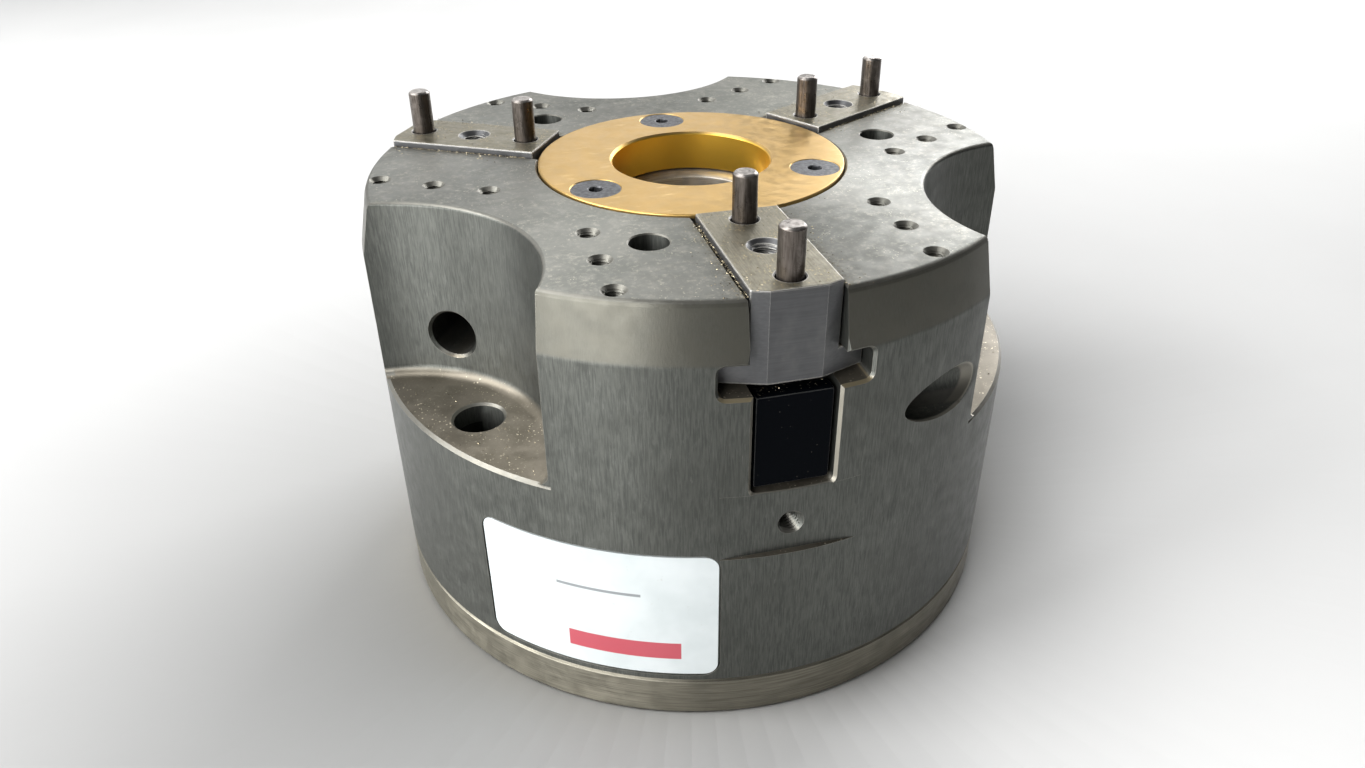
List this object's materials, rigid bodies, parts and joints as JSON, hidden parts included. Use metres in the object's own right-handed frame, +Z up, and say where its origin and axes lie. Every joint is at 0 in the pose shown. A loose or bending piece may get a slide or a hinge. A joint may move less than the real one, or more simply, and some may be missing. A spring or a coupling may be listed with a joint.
{
  "type": "three-jaw parallel gripper",
  "caption": "Round pneumatic gripper with T-slotted jaws that a wedge piston moves together, scalloped mounting ledges and an open centre bore.",
  "frame": {"origin": "centre of the base plate's underside, on the central bore's axis", "axes": "+Z up along the central bore, towards the jaws; jaw 1 faces -Y, jaws 2 and 3 stand at 30 and 150 degrees from +X"},
  "size_m": [0.15, 0.15, 0.1098],
  "materials": {
    "housing": "hard anodised dark grey-green, fine vertical turning streaks, satin",
    "plate": "hard anodised tan-grey, satin",
    "gold": "gold anodised, fine turned satin",
    "jaw": "ground steel, scratched",
    "pin": "hardened dowel steel, brownish",
    "screw": "black oxide",
    "block": "black, glossy",
    "sleeve": "bored steel",
    "driver": "machined steel",
    "piston": "clear anodised",
    "rubber": "nitrile seal",
    "guide": "filled guide tape",
    "label": "blank pale film, semi gloss"
  },
  "bodies": {
    "housing": {"body_housing": "housing", "base_plate": "plate", "centre_sleeve": "sleeve", "centre_cover": "gold", "base_seal": "rubber", "rod_seal": "rubber", "label_plate": "label", "port_seal_1": "rubber", "port_seal_2": "rubber", "cover_screw_1": "screw", "cover_screw_2": "screw", "cover_screw_3": "screw", "base_screw_1": "screw", "base_screw_2": "screw", "base_screw_3": "screw", "base_screw_4": "screw", "base_screw_5": "screw", "base_screw_6": "screw", "window_block_1": "block", "window_block_2": "block", "window_block_3": "block"},
    "drive": {"piston": "piston", "piston_seal": "rubber", "piston_guide_ring": "guide", "sleeve_seal": "rubber", "wedge_driver": "driver", "driver_screw_1": "screw", "driver_screw_2": "screw", "driver_screw_3": "screw"},
    "jaw_1_body": {"jaw_1": "jaw", "jaw_1_dowel_inner": "pin", "jaw_1_dowel_outer": "pin"},
    "jaw_2_body": {"jaw_2": "jaw", "jaw_2_dowel_inner": "pin", "jaw_2_dowel_outer": "pin"},
    "jaw_3_body": {"jaw_3": "jaw", "jaw_3_dowel_inner": "pin", "jaw_3_dowel_outer": "pin"}
  },
  "joints": [
    {"name": "piston_slide", "type": "slide", "parent": "housing", "child": "drive", "axis": [0, 0, 1], "range_m": [0, 0.02]},
    {"name": "jaw_1_slide", "type": "slide", "parent": "housing", "child": "jaw_1_body", "axis": [0, -1, 0], "range_m": [0, 0.012]},
    {"name": "jaw_2_slide", "type": "slide", "parent": "housing", "child": "jaw_2_body", "axis": [0.866, 0.5, 0], "range_m": [0, 0.012]},
    {"name": "jaw_3_slide", "type": "slide", "parent": "housing", "child": "jaw_3_body", "axis": [-0.866, 0.5, 0], "range_m": [0, 0.012]}
  ],
  "couplings": [
    {"joint": "jaw_1_slide", "follows": "piston_slide", "ratio": 0.6},
    {"joint": "jaw_2_slide", "follows": "piston_slide", "ratio": 0.6},
    {"joint": "jaw_3_slide", "follows": "piston_slide", "ratio": 0.6}
  ]
}
